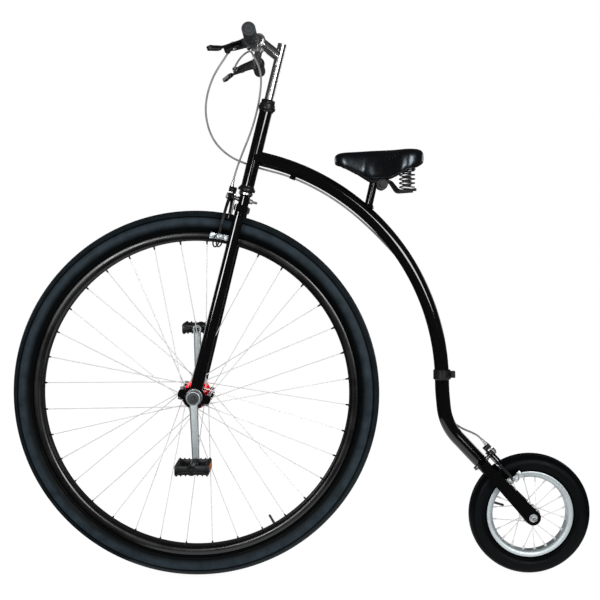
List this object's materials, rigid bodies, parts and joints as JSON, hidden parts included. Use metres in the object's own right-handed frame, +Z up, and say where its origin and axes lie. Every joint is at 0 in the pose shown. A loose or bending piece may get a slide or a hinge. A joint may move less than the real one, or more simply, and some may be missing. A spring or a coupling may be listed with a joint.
{
  "type": "penny farthing bicycle",
  "caption": "Penny farthing bicycle: large direct-driven front wheel with cranks, curved backbone, small rear wheel, sprung saddle, high stem, bar with brake levers and rim brakes.",
  "frame": {"origin": "the rider's place on top of the saddle", "axes": "+X to the rear of the bicycle, +Y to the rider's right, +Z up"},
  "size_m": [1.4288, 0.601, 1.3336],
  "materials": {
    "black_paint": "gloss black paint over steel",
    "black_metal": "satin black",
    "chrome": "polished chrome plate",
    "steel": "plain bright steel",
    "aluminium": "polished aluminium",
    "red_anodised": "red anodised aluminium",
    "silver_hub": "machined aluminium",
    "tyre": "black tyre rubber",
    "rubber": "black moulded rubber",
    "cable": "black cable housing",
    "plastic": "black moulded plastic",
    "saddle_cover": "black vinyl",
    "reflector": "amber reflector"
  },
  "bodies": {
    "frame": {"head_tube": "black_paint", "headset_cups": "black_metal", "backbone_upper": "black_paint", "backbone_lower": "black_paint", "backbone_collar": "black_metal", "rear_fork": "black_paint", "rear_axle": "steel", "rear_axle_nuts": "steel", "seat_post": "black_metal", "saddle_clamp": "steel", "saddle_rails": "black_metal", "saddle_springs": "steel", "saddle_base": "plastic", "saddle": "saddle_cover", "rear_brake_arms": "black_metal", "rear_brake_pads": "rubber", "rear_pad_holders": "aluminium", "rear_brake_fittings": "steel", "rear_brake_cable": "cable"},
    "steering": {"fork_crown": "black_paint", "fork_blades": "black_paint", "bearing_caps": "black_paint", "fork_bearings": "steel", "headset_locknut": "black_metal", "stem": "chrome", "steering_bolts": "steel", "handlebar": "chrome", "grips": "rubber", "brake_lever_bodies": "black_metal", "brake_lever_blades": "black_metal", "front_brake_arms": "black_metal", "front_brake_pads": "rubber", "front_pad_holders": "aluminium", "front_brake_fittings": "steel", "front_brake_cable": "cable", "rear_cable_loop": "cable"},
    "front_wheel": {"front_tyre": "tyre", "front_rim": "black_paint", "front_hub": "red_anodised", "front_spokes": "steel", "front_spindle": "steel", "front_valve": "rubber", "cranks": "aluminium", "crank_bolts": "steel", "pedal_spindles": "steel"},
    "pedal_left": {"pedal_left": "plastic", "pedal_reflectors_left": "reflector"},
    "pedal_right": {"pedal_right": "plastic", "pedal_reflectors_right": "reflector"},
    "rear_wheel": {"rear_tyre": "tyre", "rear_rim": "aluminium", "rear_hub": "silver_hub", "rear_spokes": "steel", "rear_valve": "rubber"}
  },
  "joints": [
    {"name": "steering_turn", "type": "hinge", "parent": "frame", "child": "steering", "pos_m": [-0.492, 0, -0.5925], "axis": [0.2487, 0, 0.9686], "range_deg": [-50, 50]},
    {"name": "front_wheel_spin", "type": "hinge", "parent": "steering", "child": "front_wheel", "pos_m": [-0.492, 0, -0.5925], "axis": [0, 1, 0], "continuous": true},
    {"name": "pedal_left_spin", "type": "hinge", "parent": "front_wheel", "child": "pedal_left", "pos_m": [-0.48767, -0.138, -0.74744], "axis": [0, 1, 0], "continuous": true},
    {"name": "pedal_right_spin", "type": "hinge", "parent": "front_wheel", "child": "pedal_right", "pos_m": [-0.49633, 0.138, -0.43756], "axis": [0, 1, 0], "continuous": true},
    {"name": "rear_wheel_spin", "type": "hinge", "parent": "frame", "child": "rear_wheel", "pos_m": [0.333, 0, -0.8955], "axis": [0, 1, 0], "continuous": true}
  ]
}
